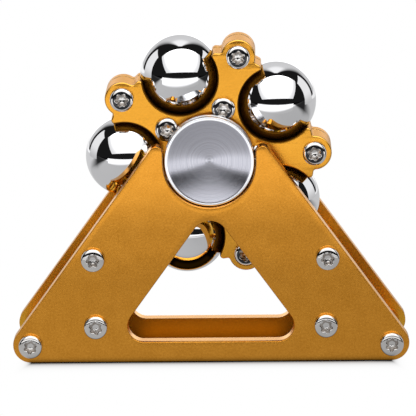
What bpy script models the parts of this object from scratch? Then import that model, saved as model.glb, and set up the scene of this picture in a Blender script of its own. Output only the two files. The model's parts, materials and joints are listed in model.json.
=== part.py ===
"""Ball-wheel desk spinner on a two-plate stand, built at its real size.

Metres, +Z up. X runs across the stand and Y from front to back. The origin is on the table, under the
middle of the wheel. The wheel carries loose steel balls, turns on a small ball bearing, and lies with
its two turned caps in the open notches of the stand, so the whole spinner lifts out.
"""
import bmesh
import bpy
from math import acos, atan2, cos, pi, radians, sin
from mathutils import Matrix, Vector

# Gaps between neighbouring pieces, and the distance at which two points of a mesh become one
SEAT_GAP = 0.0002
RUNNING_GAP = 0.0003
SCREW_PLAY = 0.0003
POCKET_PLAY = 0.00015
BEARING_PLAY = 0.0001
WELD_DISTANCE = 0.000001

# Stand plates
STAND_WIDTH = 0.0945
PLATE_THICKNESS = 0.004
PLATE_CHAMFER = 0.0006
LEG_ANGLE = radians(54.0)
LEG_WIDTH = 0.01965
FOOT_RADIUS = 0.00425
PRONG_RADIUS = 0.0016
NOTCH_SIDE_GAP = 0.00035
NOTCH_BRIDGE = 0.0032
WINDOW_SILL = 0.005
WINDOW_CORNER_RADIUS = 0.0038
WINDOW_CROWN_RADIUS = 0.0044

# Spacers between the plates, placed from the screw in each foot
STANDOFF_DIAMETER = 0.0055
LEG_SCREW_PITCH = 0.0258
BASE_SCREW_INSET = 0.0156
BASE_SCREW_RISE = 0.00455

# Six-lobe pan-head screws
SCREW_DIAMETER = 0.003
HEAD_DIAMETER = 0.0057
HEAD_HEIGHT = 0.0017
HEAD_ROUNDING = 0.0006
RECESS_DIAMETER = 0.0036
RECESS_DEPTH = 0.001
RECESS_LOBES = 6
RECESS_WAIST = 0.74
PLATE_SCREW_LENGTH = 0.010
WHEEL_SCREW_SHY = 0.0015

# Wheel and its balls
AXLE_HEIGHT = 0.0482
WHEEL_THICKNESS = 0.013
WHEEL_CHAMFER = 0.0004
WHEEL_PHASE = radians(1.8)
BALL_COUNT = 5
BALL_DIAMETER = 0.01905
BALL_CIRCLE_RADIUS = 0.0202
BALL_SIDE_CLEARANCE = 0.000975
RIM_RADIUS = 0.025
LOBE_RADIUS = 0.0041
LOBE_FILLET = 0.0006
HUB_SCREW_CIRCLE_RADIUS = 0.0121
POCKET_BORE_RADIUS = 0.009

# Ball bearing in the hub
BEARING_BORE = 0.00635
BEARING_OUTER = 0.0127
BEARING_WIDTH = 0.00476
BEARING_BALL = 0.0015875
BEARING_BALL_COUNT = 10
CAGE_WALL = 0.0006
CAGE_LENGTH = 0.0026

# Turned caps on the axle
CAP_RADIUS = 0.01065
CAP_RIM = 0.0008
CAP_CHAMFER = 0.0002
CAP_DISH_DEPTH = 0.0016
CAP_RECESS = 0.0015
PIN_DIAMETER = 0.0032
PIN_LENGTH = 0.007
PIN_END_ROOM = 0.0005

# Facets of the round shapes
SCREW_STEPS = 10
HOLE_STEPS = 8
STANDOFF_STEPS = 14
CAP_STEPS = 36
DISH_STEPS = 6
RACE_STEPS = 20
CAGE_STEPS_PER_BALL = 3
CAGE_WINDOW_STEPS = 8
POCKET_STEPS = 28
SEAT_STEPS = 4
BALL_SEGMENTS = 20
BALL_RINGS = 10
BEARING_BALL_SEGMENTS = 8
BEARING_BALL_RINGS = 5

# Depths measured from the middle of the wheel
WHEEL_HALF = WHEEL_THICKNESS / 2
HEAD_FRONT = WHEEL_HALF + SEAT_GAP + HEAD_HEIGHT
CAP_BACK = HEAD_FRONT + RUNNING_GAP
PLATE_INNER = max(BALL_DIAMETER / 2 + BALL_SIDE_CLEARANCE, CAP_BACK)
PLATE_OUTER = PLATE_INNER + PLATE_THICKNESS
RACE_FACE = BEARING_WIDTH / 2 + SEAT_GAP
SPLIT_DEPTH = RACE_FACE

# Outline of the plates
SLOPE_NORMAL = Vector((-sin(LEG_ANGLE), cos(LEG_ANGLE)))
FOOT_CENTRE = Vector((FOOT_RADIUS - STAND_WIDTH / 2, FOOT_RADIUS))
SLOPE_OFFSET = SLOPE_NORMAL.dot(FOOT_CENTRE) + FOOT_RADIUS
WINDOW_OFFSET = SLOPE_OFFSET - LEG_WIDTH
NOTCH_RADIUS = CAP_RADIUS + NOTCH_SIDE_GAP
NOTCH_FLOOR = AXLE_HEIGHT - CAP_RADIUS - SEAT_GAP
NOTCH_CENTRE = Vector((0.0, NOTCH_FLOOR + NOTCH_RADIUS))

# Bearing radii
PITCH_RADIUS = (BEARING_BORE + BEARING_OUTER) / 4
INNER_SHOULDER = PITCH_RADIUS - CAGE_WALL / 2 - RUNNING_GAP
OUTER_SHOULDER = PITCH_RADIUS + CAGE_WALL / 2 + RUNNING_GAP
GROOVE_RADIUS = BEARING_BALL / 2 + BEARING_PLAY
HUB_LIP_RADIUS = (OUTER_SHOULDER + BEARING_OUTER / 2) / 2

SEAT_RADIUS = BALL_DIAMETER / 2 + POCKET_PLAY
HOLE_RADIUS = SCREW_DIAMETER / 2 + SCREW_PLAY
UPRIGHT = (pi / 2, 0.0, 0.0)
UPRIGHT_BACKWARD = (-pi / 2, 0.0, 0.0)


def clear_scene():
    for item in list(bpy.data.objects):
        bpy.data.objects.remove(item, do_unlink=True)


def new_collection(name):
    collection = bpy.data.collections.new(name)
    bpy.context.scene.collection.children.link(collection)
    return collection


clear_scene()
PARTS = new_collection("ball_wheel_spinner")
CUTTERS = new_collection("cutters")


def finish(name, colour, roughness):
    material = bpy.data.materials.new(name)
    material.use_nodes = True
    shader = material.node_tree.nodes["Principled BSDF"]
    shader.inputs["Base Color"].default_value = (*colour, 1.0)
    shader.inputs["Roughness"].default_value = roughness
    shader.inputs["Metallic"].default_value = 1.0
    return material


GOLD = finish("gold_anodised_aluminium", (0.80, 0.46, 0.07), 0.35)
CHROME = finish("polished_chrome_steel", (0.80, 0.80, 0.82), 0.05)
SCREW_STEEL = finish("plated_screw_steel", (0.70, 0.69, 0.68), 0.15)
TURNED_SILVER = finish("turned_silver_metal", (0.72, 0.73, 0.77), 0.25)
RACE_STEEL = finish("ground_bearing_steel", (0.62, 0.62, 0.63), 0.2)
CAGE_BRASS = finish("brass_cage", (0.72, 0.52, 0.20), 0.35)


def arc(centre, radius, start, end, steps):
    """Points along an arc, both ends included."""
    points = []
    for i in range(steps + 1):
        angle = start + (end - start) * i / steps
        points.append(Vector(centre) + radius * Vector((cos(angle), sin(angle))))
    return points


def circle(centre, radius, steps):
    return arc(centre, radius, 0.0, 2 * pi, steps)[:-1]


def mirrored(points):
    return [Vector((-p.x, p.y)) for p in reversed(points)]


def place(mesh, name, material, parent=None, location=(0, 0, 0), rotation=(0, 0, 0)):
    """Makes the node for a mesh, with smooth shading on its round faces."""
    part = bpy.data.objects.new(name, mesh)
    PARTS.objects.link(part)
    part.location = location
    part.rotation_euler = rotation
    part.parent = parent
    mesh.materials.clear()
    mesh.materials.append(material)
    mesh.shade_smooth()
    mesh.set_sharp_from_angle(angle=radians(40))
    return part


def as_cutter(mesh, name, parent=None, location=(0, 0, 0), rotation=(0, 0, 0)):
    cutter = bpy.data.objects.new(name, mesh)
    CUTTERS.objects.link(cutter)
    cutter.location = location
    cutter.rotation_euler = rotation
    cutter.parent = parent
    cutter.hide_render = True
    cutter.display_type = "WIRE"
    return cutter


def cut(part, cutter):
    boolean = part.modifiers.new("cut_" + cutter.name, "BOOLEAN")
    boolean.operation = "DIFFERENCE"
    boolean.solver = "EXACT"
    boolean.object = cutter


def baked(part):
    """The evaluated mesh of a piece, which is then removed."""
    bpy.context.view_layer.update()
    graph = bpy.context.evaluated_depsgraph_get()
    mesh = bpy.data.meshes.new_from_object(part.evaluated_get(graph))
    bpy.data.objects.remove(part, do_unlink=True)
    return mesh


def slab(loops, low, high, edge=0.0):
    """A flat outline with holes, thickened from low to high, with its edges chamfered."""
    curve = bpy.data.curves.new("outline", "CURVE")
    curve.dimensions = "2D"
    curve.fill_mode = "BOTH"
    curve.extrude = (high - low) / 2 - edge
    curve.bevel_depth = edge
    curve.bevel_resolution = 0
    curve.offset = -edge
    for loop in loops:
        spline = curve.splines.new("POLY")
        spline.points.add(len(loop) - 1)
        for point, spot in zip(spline.points, loop):
            point.co = (spot.x, spot.y, 0.0, 1.0)
        spline.use_cyclic_u = True
    holder = bpy.data.objects.new("outline", curve)
    PARTS.objects.link(holder)
    mesh = baked(holder)
    work = bmesh.new()
    work.from_mesh(mesh)
    bmesh.ops.remove_doubles(work, verts=work.verts, dist=WELD_DISTANCE)
    bmesh.ops.translate(work, verts=work.verts, vec=(0.0, 0.0, (low + high) / 2))
    bmesh.ops.recalc_face_normals(work, faces=work.faces)
    work.to_mesh(mesh)
    work.free()
    return mesh


def turned(profile, steps, closed=False):
    """Spins a profile of (radius, height) pairs round the local Z axis."""
    mesh = bpy.data.meshes.new("profile")
    edges = [(i, i + 1) for i in range(len(profile) - 1)]
    if closed:
        edges.append((len(profile) - 1, 0))
    mesh.from_pydata([(radius, 0.0, height) for radius, height in profile], edges, [])
    holder = bpy.data.objects.new("profile", mesh)
    PARTS.objects.link(holder)
    screw = holder.modifiers.new("turn", "SCREW")
    screw.axis = "Z"
    screw.steps = steps
    screw.render_steps = steps
    screw.use_merge_vertices = True
    screw.merge_threshold = WELD_DISTANCE
    return baked(holder)


def ball_mesh(diameter, segments, rings):
    work = bmesh.new()
    bmesh.ops.create_uvsphere(work, u_segments=segments, v_segments=rings, radius=diameter / 2)
    mesh = bpy.data.meshes.new("ball")
    work.to_mesh(mesh)
    work.free()
    return mesh


def axis_empty(name, location, turn=0.0):
    """An empty on a joint's axis. A positive turn goes from +X towards +Z."""
    empty = bpy.data.objects.new(name, None)
    PARTS.objects.link(empty)
    empty.location = location
    empty.rotation_euler = (0.0, -turn, 0.0)
    return empty


def on_circle(radius, angle, depth):
    """A point of the wheel: out along an angle, and depth towards the front."""
    return (radius * cos(angle), -depth, radius * sin(angle))


# Screws

def screw_mesh(length):
    """A pan-head screw along local Z, with the underside of its head at height 0."""
    head = HEAD_DIAMETER / 2
    shank = SCREW_DIAMETER / 2
    shoulder = arc((head - HEAD_ROUNDING, HEAD_HEIGHT - HEAD_ROUNDING), HEAD_ROUNDING, pi / 2, 0.0, 2)
    profile = [(0.0, HEAD_HEIGHT)]
    profile += [(p.x, p.y) for p in shoulder]
    profile += [(head, 0.0), (shank, 0.0), (shank, -length), (0.0, -length)]
    screw = place(turned(profile, SCREW_STEPS), "screw_pattern", SCREW_STEEL)
    star = []
    for i in range(2 * RECESS_LOBES):
        reach = RECESS_DIAMETER / 2 * (1.0 if i % 2 == 0 else RECESS_WAIST)
        angle = pi * i / RECESS_LOBES
        star.append(Vector((reach * cos(angle), reach * sin(angle))))
    recess = as_cutter(slab([star], HEAD_HEIGHT - RECESS_DEPTH, HEAD_HEIGHT + RECESS_DEPTH), "recess")
    cut(screw, recess)
    mesh = baked(screw)
    bpy.data.objects.remove(recess, do_unlink=True)
    return mesh


# Stand

def plate_outline():
    """The A shape with its two feet, two prongs and the open notch between them."""
    feet = arc(FOOT_CENTRE, FOOT_RADIUS, -pi / 2, -pi / 2 - (pi - LEG_ANGLE), 8)
    prong_x = -(NOTCH_RADIUS + PRONG_RADIUS)
    prong_z = (SLOPE_OFFSET - PRONG_RADIUS - SLOPE_NORMAL.x * prong_x) / SLOPE_NORMAL.y
    prong = arc((prong_x, prong_z), PRONG_RADIUS, pi / 2 + LEG_ANGLE, 0.0, 6)
    notch = arc(NOTCH_CENTRE, NOTCH_RADIUS, pi, 2 * pi, 20)
    left = feet + prong
    return left + notch + mirrored(left)


def beside_leg(radius, z):
    """The centre of a rounding at height z that touches the left leg's inner side."""
    return Vector(((WINDOW_OFFSET - radius - SLOPE_NORMAL.y * z) / SLOPE_NORMAL.x, z))


def window_outline():
    """The triangular opening, parallel to the legs, with a bridge of metal left under the notch."""
    corner_centre = beside_leg(WINDOW_CORNER_RADIUS, WINDOW_SILL + WINDOW_CORNER_RADIUS)
    corner = arc(corner_centre, WINDOW_CORNER_RADIUS, -pi / 2, -pi / 2 - (pi - LEG_ANGLE), 6)
    peak_z = (WINDOW_OFFSET - WINDOW_CROWN_RADIUS) / SLOPE_NORMAL.y
    bridge_z = NOTCH_FLOOR - NOTCH_BRIDGE - WINDOW_CROWN_RADIUS
    crown_centre = beside_leg(WINDOW_CROWN_RADIUS, min(peak_z, bridge_z))
    crown = arc(crown_centre, WINDOW_CROWN_RADIUS, pi / 2 + LEG_ANGLE, pi / 2, 4)
    left = corner + crown
    right = mirrored(left)
    if (left[-1] - right[0]).length < WELD_DISTANCE:
        del right[0]
    return left + right


def standoff_places():
    """Where the spacers stand, as (name, x, z)."""
    along_leg = LEG_SCREW_PITCH * Vector((cos(LEG_ANGLE), sin(LEG_ANGLE)))
    offsets = {
        "foot": Vector((0.0, 0.0)),
        "base": Vector((BASE_SCREW_INSET, BASE_SCREW_RISE)),
        "leg": along_leg,
    }
    places = []
    for side, mirror in (("left", 1), ("right", -1)):
        for spot, offset in offsets.items():
            point = FOOT_CENTRE + offset
            places.append((side + "_" + spot, mirror * point.x, point.y))
    return places


def make_stand():
    places = standoff_places()
    holes = [circle((x, z), HOLE_RADIUS, HOLE_STEPS) for _, x, z in places]
    loops = [plate_outline(), window_outline()] + holes
    plates = {"front_plate": (PLATE_INNER, PLATE_OUTER), "rear_plate": (-PLATE_OUTER, -PLATE_INNER)}
    for name, (low, high) in plates.items():
        place(slab(loops, low, high, PLATE_CHAMFER), name, GOLD, rotation=UPRIGHT)

    half = PLATE_INNER - SEAT_GAP
    wall = [(HOLE_RADIUS, half), (STANDOFF_DIAMETER / 2, half)]
    wall += [(STANDOFF_DIAMETER / 2, -half), (HOLE_RADIUS, -half)]
    standoff = turned(wall, STANDOFF_STEPS, closed=True)
    screw = screw_mesh(PLATE_SCREW_LENGTH)
    head_seat = PLATE_OUTER + SEAT_GAP
    for spot, x, z in places:
        place(standoff, "standoff_" + spot, GOLD, location=(x, 0.0, z), rotation=UPRIGHT)
        place(screw, "screw_front_" + spot, SCREW_STEEL, location=(x, -head_seat, z), rotation=UPRIGHT)
        place(screw, "screw_rear_" + spot, SCREW_STEEL, location=(x, head_seat, z),
              rotation=UPRIGHT_BACKWARD)


# Wheel

def wheel_outline(arms):
    """A disc with a round lobe at the end of each arm."""
    reach = RIM_RADIUS + LOBE_FILLET
    span = LOBE_RADIUS + LOBE_FILLET
    fillet_turn = acos((RIM_RADIUS ** 2 + reach ** 2 - span ** 2) / (2 * RIM_RADIUS * reach))
    fillet_centre = Vector((reach * cos(fillet_turn), reach * sin(fillet_turn)))
    lobe_centre = Vector((RIM_RADIUS, 0.0))
    towards_fillet = fillet_centre - lobe_centre
    lobe_turn = atan2(towards_fillet.y, towards_fillet.x)
    half = arc(lobe_centre, LOBE_RADIUS, 0.0, lobe_turn, 5)
    half += arc(fillet_centre, LOBE_FILLET, lobe_turn + pi, 2 * pi - (pi - fillet_turn), 2)[1:]
    other = [Vector((p.x, -p.y)) for p in reversed(half)]
    rim = arc((0.0, 0.0), RIM_RADIUS, fillet_turn, arms[1] - arms[0] - fillet_turn, 8)[1:-1]
    tooth = other + half[1:] + rim
    points = []
    for angle in arms:
        turn = Matrix.Rotation(angle, 2)
        points += [turn @ p for p in tooth]
    return points


def pocket_mesh():
    """The hollow for one ball: a bore too narrow for the ball, with a round seat in the middle."""
    beyond = WHEEL_THICKNESS
    edge = acos(POCKET_BORE_RADIUS / SEAT_RADIUS)
    seat = arc((0.0, 0.0), SEAT_RADIUS, edge, -edge, SEAT_STEPS)
    profile = [(0.0, beyond), (POCKET_BORE_RADIUS, beyond)]
    profile += [(p.x, p.y) for p in seat]
    profile += [(POCKET_BORE_RADIUS, -beyond), (0.0, -beyond)]
    return turned(profile, POCKET_STEPS)


def trim_mesh(low, high):
    """A disc wider than the wheel, which cuts it off between two heights."""
    radius = 2 * (RIM_RADIUS + LOBE_RADIUS)
    return turned([(0.0, high), (radius, high), (radius, low), (0.0, low)], HOLE_STEPS)


def make_wheel(axis):
    step = 2 * pi / BALL_COUNT
    arms = [step * i for i in range(BALL_COUNT)]
    ball_angles = [angle + step / 2 for angle in arms]

    hub = circle((0.0, 0.0), HUB_LIP_RADIUS, RACE_STEPS)
    holes = []
    for angle in arms:
        for radius in (RIM_RADIUS, HUB_SCREW_CIRCLE_RADIUS):
            holes.append(circle((radius * cos(angle), radius * sin(angle)), HOLE_RADIUS, HOLE_STEPS))
    loops = [wheel_outline(arms), hub] + holes
    whole = slab(loops, -WHEEL_HALF, WHEEL_HALF, WHEEL_CHAMFER)
    front = place(whole, "wheel_front_half", GOLD, axis, rotation=UPRIGHT)
    rear = place(whole.copy(), "wheel_rear_half", GOLD, axis, rotation=UPRIGHT)
    cut(front, as_cutter(trim_mesh(-WHEEL_THICKNESS, -SPLIT_DEPTH), "front_trim", axis, rotation=UPRIGHT))
    rear_top = -SPLIT_DEPTH - SEAT_GAP
    cut(rear, as_cutter(trim_mesh(rear_top, WHEEL_THICKNESS), "rear_trim", axis, rotation=UPRIGHT))

    seat_radius = BEARING_OUTER / 2 + SEAT_GAP
    seat_floor = -SPLIT_DEPTH - WHEEL_HALF
    seat = turned([(0.0, RACE_FACE), (seat_radius, RACE_FACE), (seat_radius, seat_floor), (0.0, seat_floor)],
                  RACE_STEPS)
    cut(front, as_cutter(seat, "bearing_seat", axis, rotation=UPRIGHT))
    pocket = pocket_mesh()
    for i, angle in enumerate(ball_angles, 1):
        at = on_circle(BALL_CIRCLE_RADIUS, angle, 0.0)
        cutter = as_cutter(pocket, "ball_pocket_%d" % i, axis, at, UPRIGHT)
        cut(front, cutter)
        cut(rear, cutter)

    screw = screw_mesh(WHEEL_THICKNESS + SEAT_GAP - WHEEL_SCREW_SHY)
    seat_depth = WHEEL_HALF + SEAT_GAP
    for i, angle in enumerate(arms, 1):
        for name, radius in (("arm_screw_%d", RIM_RADIUS), ("hub_screw_%d", HUB_SCREW_CIRCLE_RADIUS)):
            place(screw, name % i, SCREW_STEEL, axis, on_circle(radius, angle, seat_depth), UPRIGHT)
    ball = ball_mesh(BALL_DIAMETER, BALL_SEGMENTS, BALL_RINGS)
    for i, angle in enumerate(ball_angles, 1):
        place(ball, "steel_ball_%d" % i, CHROME, axis, on_circle(BALL_CIRCLE_RADIUS, angle, 0.0))


# Bearing

def race_mesh(bore, shoulder, outside):
    """A ring with a round groove for the balls on the shoulder side."""
    half = BEARING_WIDTH / 2
    drop = abs(PITCH_RADIUS - shoulder)
    edge = acos(drop / GROOVE_RADIUS)
    if outside:
        groove = arc((PITCH_RADIUS, 0.0), GROOVE_RADIUS, -edge, edge, 4)
        profile = [(shoulder, half), (bore, half), (bore, -half), (shoulder, -half)]
    else:
        groove = arc((PITCH_RADIUS, 0.0), GROOVE_RADIUS, pi - edge, pi + edge, 4)
        profile = [(shoulder, -half), (bore, -half), (bore, half), (shoulder, half)]
    return turned(profile + [(p.x, p.y) for p in groove], RACE_STEPS, closed=True)


def bearing_ball_angles():
    """Each ball stands in the middle of a facet of the cage."""
    return [2 * pi * (i + 0.5) / BEARING_BALL_COUNT for i in range(BEARING_BALL_COUNT)]


def cage_holes_mesh():
    """Round windows through the cage, one for each bearing ball."""
    work = bmesh.new()
    radius = BEARING_BALL / 2 + BEARING_PLAY
    outward = Matrix.Translation((PITCH_RADIUS, 0.0, 0.0)) @ Matrix.Rotation(pi / 2, 4, "Y")
    half_facet = Matrix.Rotation(pi / CAGE_WINDOW_STEPS, 4, "Z")
    for angle in bearing_ball_angles():
        bmesh.ops.create_cone(work, cap_ends=True, segments=CAGE_WINDOW_STEPS, radius1=radius, radius2=radius,
                              depth=4 * CAGE_WALL,
                              matrix=Matrix.Rotation(angle, 4, "Z") @ outward @ half_facet)
    mesh = bpy.data.meshes.new("cage_windows")
    work.to_mesh(mesh)
    work.free()
    return mesh


def make_bearing(axis):
    place(race_mesh(BEARING_BORE / 2, INNER_SHOULDER, False), "bearing_inner_race", RACE_STEEL, axis,
          rotation=UPRIGHT)
    place(race_mesh(BEARING_OUTER / 2, OUTER_SHOULDER, True), "bearing_outer_race", RACE_STEEL, axis,
          rotation=UPRIGHT)
    inner = PITCH_RADIUS - CAGE_WALL / 2
    outer = PITCH_RADIUS + CAGE_WALL / 2
    half = CAGE_LENGTH / 2
    ring = turned([(inner, half), (outer, half), (outer, -half), (inner, -half)],
                  CAGE_STEPS_PER_BALL * BEARING_BALL_COUNT, closed=True)
    cage = place(ring, "bearing_cage", CAGE_BRASS, axis, rotation=UPRIGHT)
    cut(cage, as_cutter(cage_holes_mesh(), "cage_windows", axis, rotation=UPRIGHT))
    ball = ball_mesh(BEARING_BALL, BEARING_BALL_SEGMENTS, BEARING_BALL_RINGS)
    for i, angle in enumerate(bearing_ball_angles(), 1):
        place(ball, "bearing_ball_%d" % i, CHROME, axis, on_circle(PITCH_RADIUS, angle, 0.0))


# Caps

def cap_profile():
    """The outside of a cap, from the middle of its dished face in to the bearing's inner race."""
    face = PLATE_OUTER - CAP_RECESS
    dish = CAP_RADIUS - CAP_RIM
    profile = []
    for i in range(DISH_STEPS + 1):
        share = i / DISH_STEPS
        profile.append((dish * share, face - CAP_DISH_DEPTH * (1 - share ** 2)))
    profile += [(CAP_RADIUS - CAP_CHAMFER, face), (CAP_RADIUS, face - CAP_CHAMFER), (CAP_RADIUS, CAP_BACK)]
    return profile + [(INNER_SHOULDER, CAP_BACK), (INNER_SHOULDER, RACE_FACE)]


def make_caps(axis):
    post = BEARING_BORE / 2 - BEARING_PLAY
    post_end = SEAT_GAP - RACE_FACE
    pin = PIN_DIAMETER / 2
    pin_tip = RACE_FACE - PIN_LENGTH
    bore = pin + BEARING_PLAY
    bore_floor = PIN_END_ROOM - pin_tip
    front = cap_profile() + [(post, RACE_FACE), (post, post_end), (bore, post_end), (bore, bore_floor)]
    front.append((0.0, bore_floor))
    rear = cap_profile() + [(pin, RACE_FACE), (pin, pin_tip), (0.0, pin_tip)]
    place(turned(front, CAP_STEPS), "front_cap", TURNED_SILVER, axis, rotation=UPRIGHT)
    place(turned(rear, CAP_STEPS), "rear_cap", TURNED_SILVER, axis, rotation=UPRIGHT_BACKWARD)


make_stand()
hub_axis = (0.0, 0.0, AXLE_HEIGHT)
make_wheel(axis_empty("wheel_axis", hub_axis, WHEEL_PHASE))
core_axis = axis_empty("core_axis", hub_axis)
make_bearing(core_axis)
make_caps(core_axis)
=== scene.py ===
"""Looks of the ball-wheel desk spinner: fine meshes, finishes, studio light and the photograph's view."""
import json
from math import acos, atan2, cos, pi, radians, sin, sqrt

import bmesh
import bpy
from mathutils import Matrix, Vector


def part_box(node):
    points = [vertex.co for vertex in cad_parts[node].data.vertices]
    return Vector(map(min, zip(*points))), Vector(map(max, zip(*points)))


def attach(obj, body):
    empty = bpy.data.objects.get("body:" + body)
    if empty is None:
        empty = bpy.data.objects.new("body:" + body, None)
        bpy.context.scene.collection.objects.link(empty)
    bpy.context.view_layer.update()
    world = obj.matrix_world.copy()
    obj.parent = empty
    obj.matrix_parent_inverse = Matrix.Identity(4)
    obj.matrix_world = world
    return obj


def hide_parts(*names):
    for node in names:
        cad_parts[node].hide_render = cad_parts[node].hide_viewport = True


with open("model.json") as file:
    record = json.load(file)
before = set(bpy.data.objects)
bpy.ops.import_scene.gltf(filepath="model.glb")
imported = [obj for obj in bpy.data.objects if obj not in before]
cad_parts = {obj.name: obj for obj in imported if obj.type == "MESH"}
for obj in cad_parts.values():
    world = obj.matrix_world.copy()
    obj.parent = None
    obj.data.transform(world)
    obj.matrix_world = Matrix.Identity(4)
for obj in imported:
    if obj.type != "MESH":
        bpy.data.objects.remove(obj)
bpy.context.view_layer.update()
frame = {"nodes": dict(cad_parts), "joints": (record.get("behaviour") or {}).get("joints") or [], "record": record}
record = frame["record"]

BODY_OF = {node: body for body, nodes in record["behaviour"]["bodies"].items() for node in nodes}
SLOT_OF = {row["node"]: row["material_slot"] for row in record["subparts"]}
JOINTS = {joint["name"]: joint for joint in frame["joints"]}

# Stand plates, in metres
LEG_ANGLE = radians(54.0)
LEG_WIDTH = 0.01965
FOOT_RADIUS = 0.00425
PRONG_RADIUS = 0.0016
NOTCH_RADIUS = 0.011
NOTCH_CLEARANCE = 0.0002
WINDOW_SILL = 0.005
WINDOW_CORNER_RADIUS = 0.0038
WINDOW_CROWN_RADIUS = 0.0044
ROLL_WIDTH = 0.0015
ROLL_STEPS = 24
ROLL_RADIUS = 0.010
CORNER_WIDTH = 0.0002
CORNER_DEPTH = 0.0009
HOLE_RADIUS = 0.0018

# Wheel
WHEEL_PHASE = radians(1.8)
BALL_COUNT = 5
BALL_DIAMETER = 0.01905
BALL_CIRCLE_RADIUS = 0.0202
RIM_RADIUS = 0.025
LOBE_RADIUS = 0.0041
LOBE_FILLET = 0.0006
HUB_SCREW_CIRCLE_RADIUS = 0.0121
HUB_BORE_RADIUS = 0.006
WHEEL_EDGE = 0.0004
POCKET_BORE_RADIUS = 0.009
POCKET_SEAT_RADIUS = 0.009675
EAR_ROUNDING = 0.00085
BEARING_RADIUS = 0.00655
BEARING_TOP = 0.00258

# Six-lobe screws
SCREW_SHANK_RADIUS = 0.0015
HEAD_RADIUS = 0.00285
HEAD_HEIGHT = 0.0017
HEAD_SHOULDER = 0.00075
HEAD_SHOULDER_TURN = radians(70.0)
HEAD_DOME = 0.003
HEAD_DOME_TURN = radians(85.0)
HEAD_EDGE = 0.00012
SHANK_TIP = 0.0004
FACE_RING_RADIUS = 0.0022
RECESS_LOBES = 6
RECESS_RADIUS = 0.0016
RECESS_DEPTH = 0.001
RECESS_WAIST = 0.25
RECESS_LIP = 0.00013
# Rings of the recess from its lip down, as shares of its radius, its depth and its waist
RECESS_RINGS = ((1.0, 0.078, 1.0), (0.97, 0.4, 1.0), (0.93, 1.0, 1.0), (0.50, 1.1, 0.3))
RECESS_POINT = 1.5
RECESS_FLOOR = 0.45
# Each screw stops at its own angle
SCREW_TURN_STEP = 0.73

# Turned caps
CAP_RADIUS = 0.01065
CAP_RIM = 0.0007
CAP_ROUNDING = 0.0002
CAP_DISH = 0.0021
CAP_CONE_SHARE = 0.36
CAP_BACK = 0.0087
# The groove on the rim, as shares of its width, and its depth
RIM_GROOVE = ((0.28, 0.0), (0.33, 0.00004), (0.38, 0.0))
BARREL_GROOVE_SHARE = 0.4
BARREL_GROOVE_DEPTH = 0.0001
BARREL_GROOVE_MOUTH = 0.00018
BARREL_GROOVE_FLOOR = 0.00008
NECK_RADIUS = 0.00416
NECK_END = 0.00258
POST_RADIUS = 0.003075
POST_END = -0.00238
POST_BORE = 0.0017
POST_BORE_FLOOR = 0.00492
PIN_RADIUS = 0.0016
PIN_TIP = -0.00442

# How much of a level or an upright face's normal is vertical, at the least and at the most
LEVEL_NORMAL = 0.98
UPRIGHT_NORMAL = 0.02

UPRIGHT = Matrix.Rotation(pi / 2, 4, "X")
BACKWARD = Matrix.Rotation(-pi / 2, 4, "X")
HUB = Vector(JOINTS["wheel_spin"]["pos_m"])

PIECES = bpy.data.collections.new("finished_pieces")
STUDIO = bpy.data.collections.new("photo_studio")
for collection in (PIECES, STUDIO):
    bpy.context.scene.collection.children.link(collection)


# Shader helpers

def connect(tree, node, **inputs):
    """Sets a node's sockets by name, or by index as in _0, and links those that are given as outputs."""
    for name, value in inputs.items():
        socket = node.inputs[int(name[1:])] if name[0] == "_" else node.inputs[name.replace("_", " ")]
        if isinstance(value, bpy.types.NodeSocket):
            tree.links.new(value, socket)
        else:
            socket.default_value = value
    return node


def add_node(tree, kind, **inputs):
    """A new node with its sockets set."""
    return connect(tree, tree.nodes.new(kind), **inputs)


def math_node(tree, operation, first, second=0.0):
    """The result of a sum on one or two values."""
    node = add_node(tree, "ShaderNodeMath", _0=first, _1=second)
    node.operation = operation
    return node.outputs[0]


def map_range(tree, value, low, high, at_low, at_high, smooth=False):
    """A value that goes from at_low to at_high while the given one goes from low to high."""
    node = tree.nodes.new("ShaderNodeMapRange")
    node.interpolation_type = "SMOOTHSTEP" if smooth else "LINEAR"
    connect(tree, node, Value=value, From_Min=low, From_Max=high, To_Min=at_low, To_Max=at_high)
    return node.outputs["Result"]


def mix_colour(tree, factor, first, second):
    """A colour between the first and the second."""
    node = tree.nodes.new("ShaderNodeMix")
    node.data_type = "RGBA"
    connect(tree, node, _0=factor, _6=first, _7=second)
    return node.outputs[2]


def noise_along(tree, value, scale, detail):
    """Noise along one measure."""
    node = tree.nodes.new("ShaderNodeTexNoise")
    node.noise_dimensions = "1D"
    connect(tree, node, W=value, Scale=scale, Detail=detail)
    return node.outputs["Fac"]


def object_point(tree):
    """The point on the piece, in its own metres."""
    return tree.nodes.new("ShaderNodeTexCoord").outputs["Object"]


def new_group(name, inputs, outputs):
    """An empty shader node group with its named sockets."""
    group = bpy.data.node_groups.new(name, "ShaderNodeTree")
    for socket, kind, value in inputs:
        made = group.interface.new_socket(socket, in_out="INPUT", socket_type=kind)
        if value is not None:
            made.default_value = value
    for socket, kind in outputs:
        group.interface.new_socket(socket, in_out="OUTPUT", socket_type=kind)
    start = group.nodes.new("NodeGroupInput")
    end = group.nodes.new("NodeGroupOutput")
    return group, start, end


def use_group(tree, group, **inputs):
    """A shader node group placed in a material with its own values."""
    node = tree.nodes.new("ShaderNodeGroup")
    node.node_tree = group
    return connect(tree, node, **inputs)


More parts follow.
